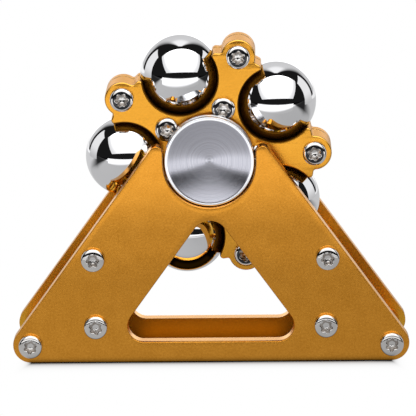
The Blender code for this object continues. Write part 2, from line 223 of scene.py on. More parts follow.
def blasted_grain_group():
    """Fine pits of a blasted surface, with slow drifts of tone, from a point in metres."""
    group, start, end = new_group(
        "blasted_grain",
        [("Point", "NodeSocketVector", None), ("Pits per metre", "NodeSocketFloat", 2000.0)],
        [("Pits", "NodeSocketFloat"), ("Drift", "NodeSocketFloat")])
    pits = add_node(group, "ShaderNodeTexNoise", Vector=start.outputs["Point"],
                    Scale=start.outputs["Pits per metre"], Detail=4.0, Roughness=0.75)
    drift = add_node(group, "ShaderNodeTexNoise", Vector=start.outputs["Point"], Scale=260.0, Detail=3.0)
    group.links.new(pits.outputs["Fac"], end.inputs["Pits"])
    group.links.new(drift.outputs["Fac"], end.inputs["Drift"])
    return group


def fine_marks_group():
    """Hairline polishing marks and smears, from a point in metres."""
    group, start, end = new_group(
        "fine_marks",
        [("Point", "NodeSocketVector", None), ("Marks per metre", "NodeSocketFloat", 900.0)],
        [("Marks", "NodeSocketFloat"), ("Smears", "NodeSocketFloat")])
    stretched = add_node(group, "ShaderNodeVectorMath", _0=start.outputs["Point"], _1=(1.0, 1.0, 9.0))
    stretched.operation = "MULTIPLY"
    marks = add_node(group, "ShaderNodeTexNoise", Vector=stretched.outputs[0],
                     Scale=start.outputs["Marks per metre"], Detail=4.0, Roughness=0.7)
    smears = add_node(group, "ShaderNodeTexNoise", Vector=start.outputs["Point"], Scale=160.0, Detail=3.0)
    group.links.new(marks.outputs["Fac"], end.inputs["Marks"])
    group.links.new(smears.outputs["Fac"], end.inputs["Smears"])
    return group


def turning_rings_group():
    """Concentric tool marks about the local Z axis, from a point in metres."""
    group, start, end = new_group(
        "turning_rings",
        [("Point", "NodeSocketVector", None), ("Rings per metre", "NodeSocketFloat", 5500.0)],
        [("Rings", "NodeSocketFloat"), ("Bands", "NodeSocketFloat")])
    split = add_node(group, "ShaderNodeSeparateXYZ", Vector=start.outputs["Point"])
    across = math_node(group, "MULTIPLY", split.outputs["X"], split.outputs["X"])
    along = math_node(group, "MULTIPLY", split.outputs["Y"], split.outputs["Y"])
    radius = math_node(group, "SQRT", math_node(group, "ADD", across, along))
    reach = math_node(group, "ADD", radius, math_node(group, "MULTIPLY", split.outputs["Z"], 1.7))
    rings = noise_along(group, reach, start.outputs["Rings per metre"], 3.0)
    bands = noise_along(group, reach, 2200.0, 2.0)
    group.links.new(rings, end.inputs["Rings"])
    group.links.new(bands, end.inputs["Bands"])
    return group


GRAIN = blasted_grain_group()
MARKS = fine_marks_group()
RINGS = turning_rings_group()


def new_metal(name):
    """A metal material, its node tree and its shader."""
    material = bpy.data.materials.new(name)
    material.use_nodes = True
    tree = material.node_tree
    shader = tree.nodes["Principled BSDF"]
    shader.inputs["Metallic"].default_value = 1.0
    return material, tree, shader


def set_bump(tree, shader, height, distance, strength):
    """Gives a shader a fine relief."""
    bump = add_node(tree, "ShaderNodeBump", Height=height, Distance=distance, Strength=strength)
    tree.links.new(bump.outputs["Normal"], shader.inputs["Normal"])


def satin_gold(name, light, dark, roughness, edge_tint):
    """Blasted and anodised gold: speckled tone, satin gloss and a fine pitted surface."""
    material, tree, shader = new_metal(name)
    grain = use_group(tree, GRAIN, Point=object_point(tree))
    speckle = map_range(tree, grain.outputs["Pits"], 0.3, 0.7, 0.0, 1.0)
    drift = map_range(tree, grain.outputs["Drift"], 0.3, 0.7, -0.15, 0.15)
    tone = math_node(tree, "ADD", speckle, drift)
    tree.links.new(mix_colour(tree, tone, (*dark, 1.0), (*light, 1.0)), shader.inputs["Base Color"])
    rough = map_range(tree, grain.outputs["Pits"], 0.3, 0.7, *roughness)
    tree.links.new(rough, shader.inputs["Roughness"])
    set_bump(tree, shader, grain.outputs["Pits"], 0.00003, 0.25)
    shader.inputs["Specular Tint"].default_value = (*edge_tint, 1.0)
    return material


def bright_metal(name, light, dark, roughness, marks_per_metre, lacquer=0.0,
                 edge_tint=(1.0, 1.0, 1.0), metallic=1.0):
    """Polished metal with hairline marks and faint smears in its gloss."""
    material, tree, shader = new_metal(name)
    marks = use_group(tree, MARKS, Point=object_point(tree), Marks_per_metre=marks_per_metre)
    tone = map_range(tree, marks.outputs["Smears"], 0.3, 0.7, 0.0, 1.0)
    tree.links.new(mix_colour(tree, tone, (*dark, 1.0), (*light, 1.0)), shader.inputs["Base Color"])
    rough = map_range(tree, marks.outputs["Marks"], 0.35, 0.75, *roughness)
    tree.links.new(rough, shader.inputs["Roughness"])
    set_bump(tree, shader, marks.outputs["Marks"], 0.000002, 0.15)
    shader.inputs["Coat Weight"].default_value = lacquer
    shader.inputs["Coat Roughness"].default_value = 0.08
    shader.inputs["Specular Tint"].default_value = (*edge_tint, 1.0)
    shader.inputs["Metallic"].default_value = metallic
    return material


def turned_metal(name, light, dark, roughness, stretch):
    """Lathe-turned metal with concentric rings and a highlight drawn out across them."""
    material, tree, shader = new_metal(name)
    rings = use_group(tree, RINGS, Point=object_point(tree))
    tone = map_range(tree, rings.outputs["Bands"], 0.3, 0.7, 0.0, 1.0)
    tree.links.new(mix_colour(tree, tone, (*dark, 1.0), (*light, 1.0)), shader.inputs["Base Color"])
    rough = map_range(tree, rings.outputs["Rings"], 0.3, 0.7, roughness * 0.85, roughness * 1.15)
    tree.links.new(rough, shader.inputs["Roughness"])
    shader.inputs["Anisotropic"].default_value = stretch
    shader.inputs["Anisotropic Rotation"].default_value = 0.25
    around = tree.nodes.new("ShaderNodeTangent")
    around.direction_type = "RADIAL"
    around.axis = "Z"
    tree.links.new(around.outputs["Tangent"], shader.inputs["Tangent"])
    set_bump(tree, shader, rings.outputs["Rings"], 0.000004, 0.3)
    return material


SATIN_GOLD = satin_gold("satin_gold_plate", (1.0, 0.440, 0.055), (0.74, 0.300, 0.028), (0.21, 0.27),
                        edge_tint=(1.0, 1.0, 0.9))
WHEEL_GOLD = satin_gold("satin_gold_wheel", (1.0, 0.470, 0.052), (0.80, 0.355, 0.034), (0.21, 0.27),
                        edge_tint=(0.68, 0.57, 0.40))
INNER_GOLD = satin_gold("satin_gold_inside", (1.0, 0.56, 0.06), (0.85, 0.45, 0.04), (0.29, 0.34),
                        edge_tint=(1.0, 0.82, 0.42))
EDGE_GOLD = bright_metal("bright_gold_edge", (0.98, 0.50, 0.06), (0.92, 0.44, 0.045), (0.10, 0.15), 900.0,
                         lacquer=1.0)
# Painted shade: pocket walls and seats get a very dark gold and a dark edge tint in place of the shade in the
# narrow gaps round the balls
SHADED_POCKET_GOLD = bright_metal("painted_shade_pocket_gold", (0.17, 0.068, 0.005), (0.11, 0.042, 0.003), (0.32, 0.42),
                           1200.0, edge_tint=(0.30, 0.14, 0.03), metallic=0.8)
BALL_CHROME = bright_metal("mirror_chrome_ball", (0.92, 0.92, 0.935), (0.88, 0.88, 0.90), (0.015, 0.03),
                           700.0)
SCREW_STEEL = bright_metal("plated_screw_steel", (0.82, 0.81, 0.80), (0.72, 0.70, 0.68), (0.05, 0.09), 2500.0)
# Painted shade: the screw recess walls are a darker, warmer steel in place of the shade deep in the recess
SHADED_RECESS_STEEL = bright_metal("painted_shade_recess_steel", (0.56, 0.52, 0.48), (0.34, 0.30, 0.27), (0.20, 0.32), 2500.0)
# Painted reflection: near-black steel on the wheel screws' flat face ring stands in for the reflection of a dark
# room
DARK_REFLECTION_STEEL = bright_metal("painted_dark_reflection_ring_steel", (0.07, 0.07, 0.075), (0.03, 0.03, 0.033), (0.16, 0.24),
                          2500.0)
# Painted shade: the dished face is a darker, bluer copy of the rim's turned silver, standing in for the grey
# reflection in the dish
SHADED_CAP_FACE = turned_metal("turned_silver_face_painted_shade", (0.59, 0.592, 0.66), (0.515, 0.518, 0.58), 0.19, 0.92)
CAP_RIM_SILVER = turned_metal("turned_silver_rim", (0.93, 0.935, 0.96), (0.88, 0.89, 0.92), 0.09, 0.3)
CAP_BARREL = turned_metal("turned_silver_barrel", (0.93, 0.935, 0.96), (0.88, 0.89, 0.92), 0.30, 0.8)
RACE_STEEL = turned_metal("ground_bearing_steel", (0.66, 0.66, 0.67), (0.56, 0.56, 0.58), 0.20, 0.3)
CAGE_BRASS = bright_metal("machined_cage_brass", (0.78, 0.55, 0.20), (0.66, 0.44, 0.14), (0.25, 0.36), 1500.0)


# Mesh helpers

def arc(centre, radius, start, end, steps):
    """Points along an arc, both ends included."""
    points = []
    for i in range(steps + 1):
        angle = start + (end - start) * i / steps
        points.append(Vector(centre) + radius * Vector((cos(angle), sin(angle))))
    return points


def circle(centre, radius, steps):
    """Points round a circle."""
    return arc(centre, radius, 0.0, 2 * pi, steps)[:-1]


def mirrored(points):
    """Points on the other side of the upright axis, in the order that carries an outline on."""
    return [Vector((-p.x, p.y)) for p in reversed(points)]


def evaluated(holder):
    """The evaluated mesh of a helper object, which is then removed."""
    bpy.context.view_layer.update()
    graph = bpy.context.evaluated_depsgraph_get()
    mesh = bpy.data.meshes.new_from_object(holder.evaluated_get(graph))
    bpy.data.objects.remove(holder, do_unlink=True)
    return mesh


def slab(loops, low, high, edge=0.0, edge_steps=0):
    """A flat outline with holes, thickened from low to high, with its edges rounded."""
    curve = bpy.data.curves.new("outline", "CURVE")
    curve.dimensions = "2D"
    curve.fill_mode = "BOTH"
    curve.extrude = (high - low) / 2 - edge
    curve.bevel_depth = edge
    curve.bevel_resolution = edge_steps
    curve.offset = -edge
    for loop in loops:
        spline = curve.splines.new("POLY")
        spline.points.add(len(loop) - 1)
        for point, spot in zip(spline.points, loop):
            point.co = (spot.x, spot.y, 0.0, 1.0)
        spline.use_cyclic_u = True
    holder = bpy.data.objects.new("outline", curve)
    PIECES.objects.link(holder)
    mesh = evaluated(holder)
    work = bmesh.new()
    work.from_mesh(mesh)
    bmesh.ops.remove_doubles(work, verts=work.verts, dist=0.000001)
    bmesh.ops.translate(work, verts=work.verts, vec=(0.0, 0.0, (low + high) / 2))
    bmesh.ops.recalc_face_normals(work, faces=work.faces)
    work.to_mesh(mesh)
    work.free()
    return mesh


def skin(rings):
    """A closed mesh through rings of equal count. A ring of one point is a pole."""
    work = bmesh.new()
    made = [[work.verts.new(p) for p in ring] for ring in rings]
    for upper, lower in zip(made, made[1:]):
        count = max(len(upper), len(lower))
        for i in range(count):
            corners = []
            for ring, picks in ((upper, (i, i + 1)), (lower, (i + 1, i))):
                for pick in picks if len(ring) > 1 else picks[:1]:
                    corners.append(ring[pick % len(ring)])
            work.faces.new(corners)
    bmesh.ops.recalc_face_normals(work, faces=work.faces)
    mesh = bpy.data.meshes.new("skin")
    work.to_mesh(mesh)
    work.free()
    return mesh


def ring(radius, height, steps, lobes=0, waist=0.0):
    """A level ring, drawn in between its lobes."""
    points = []
    for i in range(steps):
        angle = 2 * pi * i / steps
        drawn = radius * (1.0 - waist * (1.0 - cos(lobes * angle)) / 2)
        points.append(Vector((drawn * cos(angle), drawn * sin(angle), height)))
    return points


def turned(profile, steps):
    """A closed turned shape from (radius, height) pairs. A radius of 0 makes a pole."""
    return skin([ring(r, h, steps) if r > 0 else [Vector((0.0, 0.0, h))] for r, h in profile])


def turned_ring(profile, steps):
    """A turned shape with a bore, whose profile closes on itself."""
    work = bmesh.new()
    made = [[work.verts.new(p) for p in ring(r, h, steps)] for r, h in profile]
    for upper, lower in zip(made, made[1:] + made[:1]):
        for i in range(steps):
            follow = (i + 1) % steps
            work.faces.new((upper[i], upper[follow], lower[follow], lower[i]))
    bmesh.ops.recalc_face_normals(work, faces=work.faces)
    mesh = bpy.data.meshes.new("turned_ring")
    work.to_mesh(mesh)
    work.free()
    return mesh


def rounded_corner(centre, radius, start, end, steps):
    """An arc as (radius, height) pairs for a turned profile."""
    return [(p.x, p.y) for p in arc(centre, radius, start, end, steps)]


def joined(meshes_and_places):
    """One mesh from several placed copies."""
    work = bmesh.new()
    for mesh, place in meshes_and_places:
        copy = mesh.copy()
        copy.transform(place)
        work.from_mesh(copy)
        bpy.data.meshes.remove(copy)
    mesh = bpy.data.meshes.new("joined")
    work.to_mesh(mesh)
    work.free()
    return mesh


def cut_away(mesh, cutter):
    """What is left of a mesh when a cutter is taken from it. Cut faces keep the cutter's material."""
    body = bpy.data.objects.new("body", mesh)
    tool = bpy.data.objects.new("tool", cutter)
    for item in (body, tool):
        PIECES.objects.link(item)
    boolean = body.modifiers.new("cut", "BOOLEAN")
    boolean.operation = "DIFFERENCE"
    boolean.solver = "EXACT"
    boolean.material_mode = "TRANSFER"
    boolean.object = tool
    made = evaluated(body)
    bpy.data.objects.remove(tool, do_unlink=True)
    return made


def dress(mesh, *materials):
    """Gives a mesh its materials."""
    mesh.materials.clear()
    for material in materials:
        mesh.materials.append(material)
    return mesh


def finish_edges(mesh, edge, low, high):
    """Gives the rounded edges of a slab its second material."""
    for face in mesh.polygons:
        level = abs(face.normal.z)
        near_face = min(abs(face.center.z - low), abs(face.center.z - high)) < edge
        face.material_index = 1 if near_face and UPRIGHT_NORMAL < level < LEVEL_NORMAL else 0


def add_piece(name, mesh, node, place, sharp_angle=35.0):
    """A finished piece in the place of a CAD node, riding on that node's body."""
    piece = bpy.data.objects.new(name, mesh)
    PIECES.objects.link(piece)
    piece.matrix_world = place
    mesh.shade_smooth()
    mesh.set_sharp_from_angle(angle=radians(sharp_angle))
    even = piece.modifiers.new("even_shading", "WEIGHTED_NORMAL")
    even.keep_sharp = True
    even.weight = 100
    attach(piece, BODY_OF[node])
    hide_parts(node)
    return piece


def middle(node):
    """The middle of a CAD node's box."""
    low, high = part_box(node)
    return (low + high) / 2


# Screws

def screw_mesh(shank_length, ring_steel_or_painted_dark):
    """A pan head with a six-lobe recess, underside at height 0, on a plain shank with a blunt end."""
    steps = 72
    head, recess, face_ring = range(3)
    profile = [(SCREW_SHANK_RADIUS - SHANK_TIP, -shank_length)]
    profile += [(SCREW_SHANK_RADIUS, SHANK_TIP - shank_length), (SCREW_SHANK_RADIUS, -HEAD_EDGE)]
    profile += [(SCREW_SHANK_RADIUS + HEAD_EDGE, 0.0), (HEAD_RADIUS - HEAD_EDGE, 0.0)]
    profile.append((HEAD_RADIUS, HEAD_EDGE))
    shoulder_x = HEAD_RADIUS - HEAD_SHOULDER
    dome_x = shoulder_x + (HEAD_SHOULDER - HEAD_DOME) * cos(HEAD_SHOULDER_TURN)
    dome_z = HEAD_HEIGHT - HEAD_DOME
    shoulder_z = dome_z + (HEAD_DOME - HEAD_SHOULDER) * sin(HEAD_SHOULDER_TURN)
    profile += rounded_corner((shoulder_x, shoulder_z), HEAD_SHOULDER, 0.0, HEAD_SHOULDER_TURN, 8)
    profile += rounded_corner((dome_x, dome_z), HEAD_DOME, HEAD_SHOULDER_TURN, HEAD_DOME_TURN, 4)[1:]
    rings = [[Vector((0.0, 0.0, -shank_length))]]
    rings += [ring(r, h, steps) for r, h in profile]
    rings.append(ring(RECESS_RADIUS + RECESS_LIP, HEAD_HEIGHT, steps, RECESS_LOBES, RECESS_WAIST))
    for width, depth, waist in RECESS_RINGS:
        height = HEAD_HEIGHT - depth * RECESS_DEPTH
        rings.append(ring(width * RECESS_RADIUS, height, steps, RECESS_LOBES, waist * RECESS_WAIST))
    rings.append([Vector((0.0, 0.0, HEAD_HEIGHT - RECESS_POINT * RECESS_DEPTH))])
    mesh = dress(skin(rings), SCREW_STEEL, SHADED_RECESS_STEEL, ring_steel_or_painted_dark)
    # Recess walls take the painted-shade steel; on the wheel screws the flat face ring takes a painted dark
    # reflection
    for face in mesh.polygons:
        away = Vector(face.center.xy).length
        level_top = face.center.z > HEAD_HEIGHT - 0.5 * HEAD_SHOULDER and face.normal.z > 0.9
        in_recess = face.center.z > 0.0 and RECESS_FLOOR * RECESS_RADIUS < away < RECESS_RADIUS
        if level_top and away < FACE_RING_RADIUS:
            face.material_index = face_ring
        elif in_recess:
            face.material_index = recess if face.center.z < HEAD_HEIGHT - RECESS_LIP else head
    return mesh


def add_screws():
    """One screw in the place of each screw node, head out."""
    turn = 0.0
    for node in sorted(SLOT_OF):
        if "screw" not in node:
            continue
        low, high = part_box(node)
        spot = middle(node)
        rear = "rear" in node
        length = high.y - low.y - HEAD_HEIGHT
        seat = high.y - HEAD_HEIGHT if rear else low.y + HEAD_HEIGHT
        turn += SCREW_TURN_STEP
        place = Matrix.Translation((spot.x, seat, spot.z)) @ (BACKWARD if rear else UPRIGHT)
        place = place @ Matrix.Rotation(turn, 4, "Z")
        # Frame screws keep plain steel on the face ring; wheel screws get the painted dark reflection
        ring_steel_or_painted_dark = SCREW_STEEL if node.startswith("screw") else DARK_REFLECTION_STEEL
        add_piece("bright_" + node, screw_mesh(length, ring_steel_or_painted_dark), node, place, 50.0)


# Stand

def plate_loops():
    """The A outline with its window, and the middles of the screw holes."""
    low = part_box("front_plate")[0]
    normal = Vector((-sin(LEG_ANGLE), cos(LEG_ANGLE)))
    foot = Vector((low.x + FOOT_RADIUS, low.z + FOOT_RADIUS))
    slope = normal.dot(foot) + FOOT_RADIUS
    inner = slope - LEG_WIDTH

    def beside_leg(radius, z):
        """The middle of a circle at a height that touches the leg's inner side."""
        return Vector(((inner - radius - normal.y * z) / normal.x, z))

    lean = pi / 2 + LEG_ANGLE
    feet = arc(foot, FOOT_RADIUS, -pi / 2, lean - 2 * pi, 24)
    prong_x = -(NOTCH_RADIUS + PRONG_RADIUS)
    prong_z = (slope - PRONG_RADIUS - normal.x * prong_x) / normal.y
    prong = arc((prong_x, prong_z), PRONG_RADIUS, lean, 0.0, 16)
    notch_z = HUB.z - CAP_RADIUS - NOTCH_CLEARANCE + NOTCH_RADIUS
    notch = arc((0.0, notch_z), NOTCH_RADIUS, pi, 2 * pi, 64)
    outline = feet + prong + notch + mirrored(feet + prong)

    corner_centre = beside_leg(WINDOW_CORNER_RADIUS, WINDOW_SILL + WINDOW_CORNER_RADIUS)
    corner = arc(corner_centre, WINDOW_CORNER_RADIUS, -pi / 2, lean - 2 * pi, 20)
    crown_z = (inner - WINDOW_CROWN_RADIUS) / normal.y
    crown = arc((0.0, crown_z), WINDOW_CROWN_RADIUS, lean, pi - lean, 28)
    window = corner + crown + mirrored(corner)

    holes = [middle(node) for node in SLOT_OF if node.startswith("standoff")]
    return [outline, window], holes


def edge_drop(inset):
    """How far the plate's face lies below its middle at a distance from the outline."""
    drop = ROLL_RADIUS - sqrt(ROLL_RADIUS ** 2 - (ROLL_WIDTH - inset) ** 2)
    if inset < CORNER_WIDTH:
        drop += CORNER_DEPTH * (1.0 - sqrt(1.0 - (1.0 - inset / CORNER_WIDTH) ** 2))
    return drop


def plate_mesh(outer, inner):
    """A plate whose outer face rolls off softly towards its edges and whose inner edges are sharp."""
    loops, holes = plate_loops()
    side = 1 if outer > inner else -1
    spare = inner - 2 * side * ROLL_WIDTH
    mesh = slab(loops, min(outer, spare), max(outer, spare), ROLL_WIDTH, ROLL_STEPS)
    tolerance = 0.001
    for vertex in mesh.vertices:
        rise = 1.0 - abs(outer - vertex.co.z) / ROLL_WIDTH
        if rise > -tolerance:
            inset = ROLL_WIDTH * (1.0 - sqrt(1.0 - min(max(rise, 0.0), 1.0) ** 2))
            vertex.co.z = outer - side * edge_drop(inset)
    dress(mesh, SATIN_GOLD, INNER_GOLD)
    wide = 2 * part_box("front_plate")[1].x
    beyond = spare - side * ROLL_WIDTH
    block = [(0.0, inner), (wide, inner), (wide, beyond), (0.0, beyond)]
    mesh = cut_away(mesh, dress(turned(block, 24), INNER_GOLD))
    above = outer + side * ROLL_WIDTH
    drill = turned([(0.0, above), (HOLE_RADIUS, above), (HOLE_RADIUS, beyond), (0.0, beyond)], 32)
    drills = joined([(drill, Matrix.Translation((spot.x, spot.z, 0.0))) for spot in holes])
    return cut_away(mesh, dress(drills, SATIN_GOLD))


def add_plates():
    """Both plates, each with its rolled face outwards."""
    for node in ("front_plate", "rear_plate"):
        low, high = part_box(node)
        outer, inner = (-low.y, -high.y) if node == "front_plate" else (-high.y, -low.y)
        add_piece("satin_" + node, plate_mesh(outer, inner), node, UPRIGHT)


def add_standoffs():
    """Round spacers with a bore and chamfered ends."""
    chamfer = 0.0003
    for node in SLOT_OF:
        if not node.startswith("standoff"):
            continue
        low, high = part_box(node)
        half = (high.y - low.y) / 2
        radius = (high.z - low.z) / 2
        profile = [(HOLE_RADIUS + chamfer, half), (radius - chamfer, half), (radius, half - chamfer),
                   (radius, chamfer - half), (radius - chamfer, -half), (HOLE_RADIUS + chamfer, -half),
                   (HOLE_RADIUS, chamfer - half), (HOLE_RADIUS, half - chamfer)]
        mesh = dress(turned_ring(profile, 48), WHEEL_GOLD)
        add_piece("satin_" + node, mesh, node, Matrix.Translation(middle(node)) @ UPRIGHT)


# Wheel

def wheel_outline(arms):
    """A disc with a round lobe at the end of each arm and a round bite for each ball between two ears."""
    reach = RIM_RADIUS + LOBE_FILLET
    span = LOBE_RADIUS + LOBE_FILLET
    fillet_turn = acos((RIM_RADIUS ** 2 + reach ** 2 - span ** 2) / (2 * RIM_RADIUS * reach))
    fillet_centre = reach * Vector((cos(fillet_turn), sin(fillet_turn)))
    lobe_centre = Vector((RIM_RADIUS, 0.0))
    towards_fillet = fillet_centre - lobe_centre
    lobe_turn = atan2(towards_fillet.y, towards_fillet.x)
    half = arc(lobe_centre, LOBE_RADIUS, 0.0, lobe_turn, 18)
    half += arc(fillet_centre, LOBE_FILLET, lobe_turn + pi, pi + fillet_turn, 6)[1:]

    half_step = (arms[1] - arms[0]) / 2
    ball_centre = BALL_CIRCLE_RADIUS * Vector((cos(half_step), sin(half_step)))
    ear_reach = RIM_RADIUS - EAR_ROUNDING
    ear_span = POCKET_BORE_RADIUS + EAR_ROUNDING
    ear_turn = half_step - acos((ear_reach ** 2 + BALL_CIRCLE_RADIUS ** 2 - ear_span ** 2)
                                / (2 * ear_reach * BALL_CIRCLE_RADIUS))
    ear_centre = ear_reach * Vector((cos(ear_turn), sin(ear_turn)))
    towards_ball = ball_centre - ear_centre
    ball_turn = atan2(towards_ball.y, towards_ball.x)
    half += arc((0.0, 0.0), RIM_RADIUS, fillet_turn, ear_turn, 4)[1:]
    half += arc(ear_centre, EAR_ROUNDING, ear_turn, ball_turn, 14)[1:]
    half += arc(ball_centre, POCKET_BORE_RADIUS, ball_turn - pi, half_step - pi, 36)[1:]
    other = [Vector((p.x, -p.y)) for p in reversed(half)]
    points = []
    for angle in arms:
        turn = Matrix.Rotation(angle, 2)
        points += [turn @ p for p in other + half[1:-1]]
    return points


def ball_seat_mesh():
    """The round hollow that the ball rolls in, midway along its bore."""
    rings = 24
    profile = []
    for i in range(rings + 1):
        angle = pi * i / rings
        radius = POCKET_SEAT_RADIUS * sin(angle) if 0 < i < rings else 0.0
        profile.append((radius, POCKET_SEAT_RADIUS * cos(angle)))
    return turned(profile, 144)


def add_wheel_halves():
    """Two slabs that meet in a fine seam, each with its part of the pockets."""
    step = 2 * pi / BALL_COUNT
    arms = [step * i for i in range(BALL_COUNT)]
    holes = []
    for angle in arms:
        for radius in (RIM_RADIUS, HUB_SCREW_CIRCLE_RADIUS):
            holes.append(circle(radius * Vector((cos(angle), sin(angle))), HOLE_RADIUS, 32))
    loops = [wheel_outline(arms), circle((0.0, 0.0), HUB_BORE_RADIUS, 64)] + holes
    outward = [Matrix.Rotation(angle + step / 2, 4, "Z") @ Matrix.Translation((BALL_CIRCLE_RADIUS, 0.0, 0.0))
               for angle in arms]
    seat = ball_seat_mesh()
    pocket = 2
    pocket_reach = POCKET_BORE_RADIUS + 0.7 * WHEEL_EDGE
    place = Matrix.Translation(HUB) @ Matrix.Rotation(-WHEEL_PHASE, 4, "Y") @ UPRIGHT
    for node in ("wheel_front_half", "wheel_rear_half"):
        near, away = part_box(node)
        mesh = slab(loops, -away.y, -near.y, WHEEL_EDGE, 4)
        dress(mesh, WHEEL_GOLD, EDGE_GOLD, SHADED_POCKET_GOLD)
        finish_edges(mesh, WHEEL_EDGE, -away.y, -near.y)
        # The pocket walls here take the painted-shade gold
        for wall in mesh.polygons:
            reach = min((wall.center.xy - spot.translation.xy).length for spot in outward)
            if abs(wall.normal.z) < LEVEL_NORMAL and reach < pocket_reach:
                wall.material_index = pocket
        mesh = cut_away(mesh, dress(joined([(seat, spot) for spot in outward]), SHADED_POCKET_GOLD))
        if node == "wheel_front_half":
            below = -2 * BEARING_TOP
            bearing_seat = [(0.0, BEARING_TOP), (BEARING_RADIUS, BEARING_TOP)]
            bearing_seat += [(BEARING_RADIUS, below), (0.0, below)]
            mesh = cut_away(mesh, dress(turned(bearing_seat, 64), WHEEL_GOLD))
        add_piece("satin_" + node, mesh, node, place, 30.0)


def add_balls():
    """Mirror balls from fine rings of latitude."""
    rings = 64
    radius = BALL_DIAMETER / 2
    profile = []
    for i in range(rings + 1):
        angle = pi * i / rings
        profile.append((radius * sin(angle) if 0 < i < rings else 0.0, radius * cos(angle)))
    mesh = dress(turned(profile, 2 * rings), BALL_CHROME)
    for i in range(1, BALL_COUNT + 1):
        node = "steel_ball_%d" % i
        centre = Vector(JOINTS["ball_roll_%d" % i]["pos_m"])
        add_piece("mirror_ball_%d" % i, mesh, node, Matrix.Translation(centre), 60.0)


# Caps

def add_caps():
    """Dished faces inside a bright flat rim, a straight barrel and the neck towards the bearing."""
    face = -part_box("front_cap")[0].y
    dish, rim, barrel = range(3)
    dish_steps = 32
    dish_radius = CAP_RADIUS - CAP_RIM
    profile = [(0.0, face - CAP_DISH)]
    for i in range(1, dish_steps + 1):
        share = i / dish_steps
        rise = CAP_CONE_SHARE * share + (1 - CAP_CONE_SHARE) * share ** 2
        profile.append((dish_radius * share, face - CAP_DISH * (1 - rise)))
    for reach, depth in RIM_GROOVE:
        profile.append((dish_radius + reach * CAP_RIM, face - depth))
    corner = CAP_RADIUS - CAP_ROUNDING
    profile += rounded_corner((corner, face - CAP_ROUNDING), CAP_ROUNDING, pi / 2, 0.0, 6)
    line = CAP_BACK + BARREL_GROOVE_SHARE * (face - CAP_BACK)
    groove = CAP_RADIUS - BARREL_GROOVE_DEPTH
    profile += [(CAP_RADIUS, line + BARREL_GROOVE_MOUTH), (groove, line + BARREL_GROOVE_FLOOR),
                (groove, line - BARREL_GROOVE_FLOOR), (CAP_RADIUS, line - BARREL_GROOVE_MOUTH)]
    profile += rounded_corner((corner, CAP_BACK + CAP_ROUNDING), CAP_ROUNDING, 0.0, -pi / 2, 6)
    profile += [(NECK_RADIUS, CAP_BACK), (NECK_RADIUS, NECK_END)]
    inside = {"front_cap": [(POST_RADIUS, NECK_END), (POST_RADIUS, POST_END), (POST_BORE, POST_END),
                            (POST_BORE, POST_BORE_FLOOR), (0.0, POST_BORE_FLOOR)],
              "rear_cap": [(PIN_RADIUS, NECK_END), (PIN_RADIUS, PIN_TIP), (0.0, PIN_TIP)]}
    for node, turn in (("front_cap", UPRIGHT), ("rear_cap", BACKWARD)):
        # The dish takes the painted-shade silver, the rim and barrel the bright one
        mesh = dress(turned(profile + inside[node], 128), SHADED_CAP_FACE, CAP_RIM_SILVER, CAP_BARREL)
        for ring_face in mesh.polygons:
            away = Vector(ring_face.center.xy).length
            in_dish = away < dish_radius and ring_face.center.z > face - 1.1 * CAP_DISH
            on_rim = away >= dish_radius and ring_face.normal.z > 0.5
            ring_face.material_index = dish if in_dish else rim if on_rim else barrel
        add_piece("turned_" + node, mesh, node, Matrix.Translation(HUB) @ turn, 30.0)


def dress_bearing():
    """The bearing's own pieces keep their shapes and get their finishes."""
    finishes = {"bearing_inner_race": RACE_STEEL, "bearing_outer_race": RACE_STEEL,
                "bearing_cage": CAGE_BRASS}
    for node, piece in frame["nodes"].items():
        if node.startswith("bearing"):
            dress(piece.data, finishes.get(node, BALL_CHROME))


add_plates()
add_standoffs()
add_screws()
add_wheel_halves()
add_balls()
add_caps()
dress_bearing()


# Studio

def emitter(name, direction, start, end, dim, bright):
    """A glow that rises along a direction from dim at the start to bright at the end."""
    material = bpy.data.materials.new(name)
    material.use_nodes = True
    tree = material.node_tree
    tree.nodes.clear()
    geometry = tree.nodes.new("ShaderNodeNewGeometry")
    along = add_node(tree, "ShaderNodeVectorMath", _0=geometry.outputs["Position"], _1=direction)
    along.operation = "DOT_PRODUCT"
    strength = map_range(tree, along.outputs["Value"], start, end, dim, bright, smooth=True)
    glow = add_node(tree, "ShaderNodeEmission", Strength=strength)
    output = tree.nodes.new("ShaderNodeOutputMaterial")
    tree.links.new(glow.outputs[0], output.inputs["Surface"])
    return material


def card(name, corners, **glow):
    """A glowing sheet that only reflections and light see."""
    mesh = bpy.data.meshes.new(name)
    mesh.from_pydata([Vector(c) for c in corners], [], [tuple(range(len(corners)))])
    mesh.materials.append(emitter(name, **glow))
    sheet = bpy.data.objects.new(name, mesh)
    STUDIO.objects.link(sheet)
    sheet.visible_camera = False
    return sheet


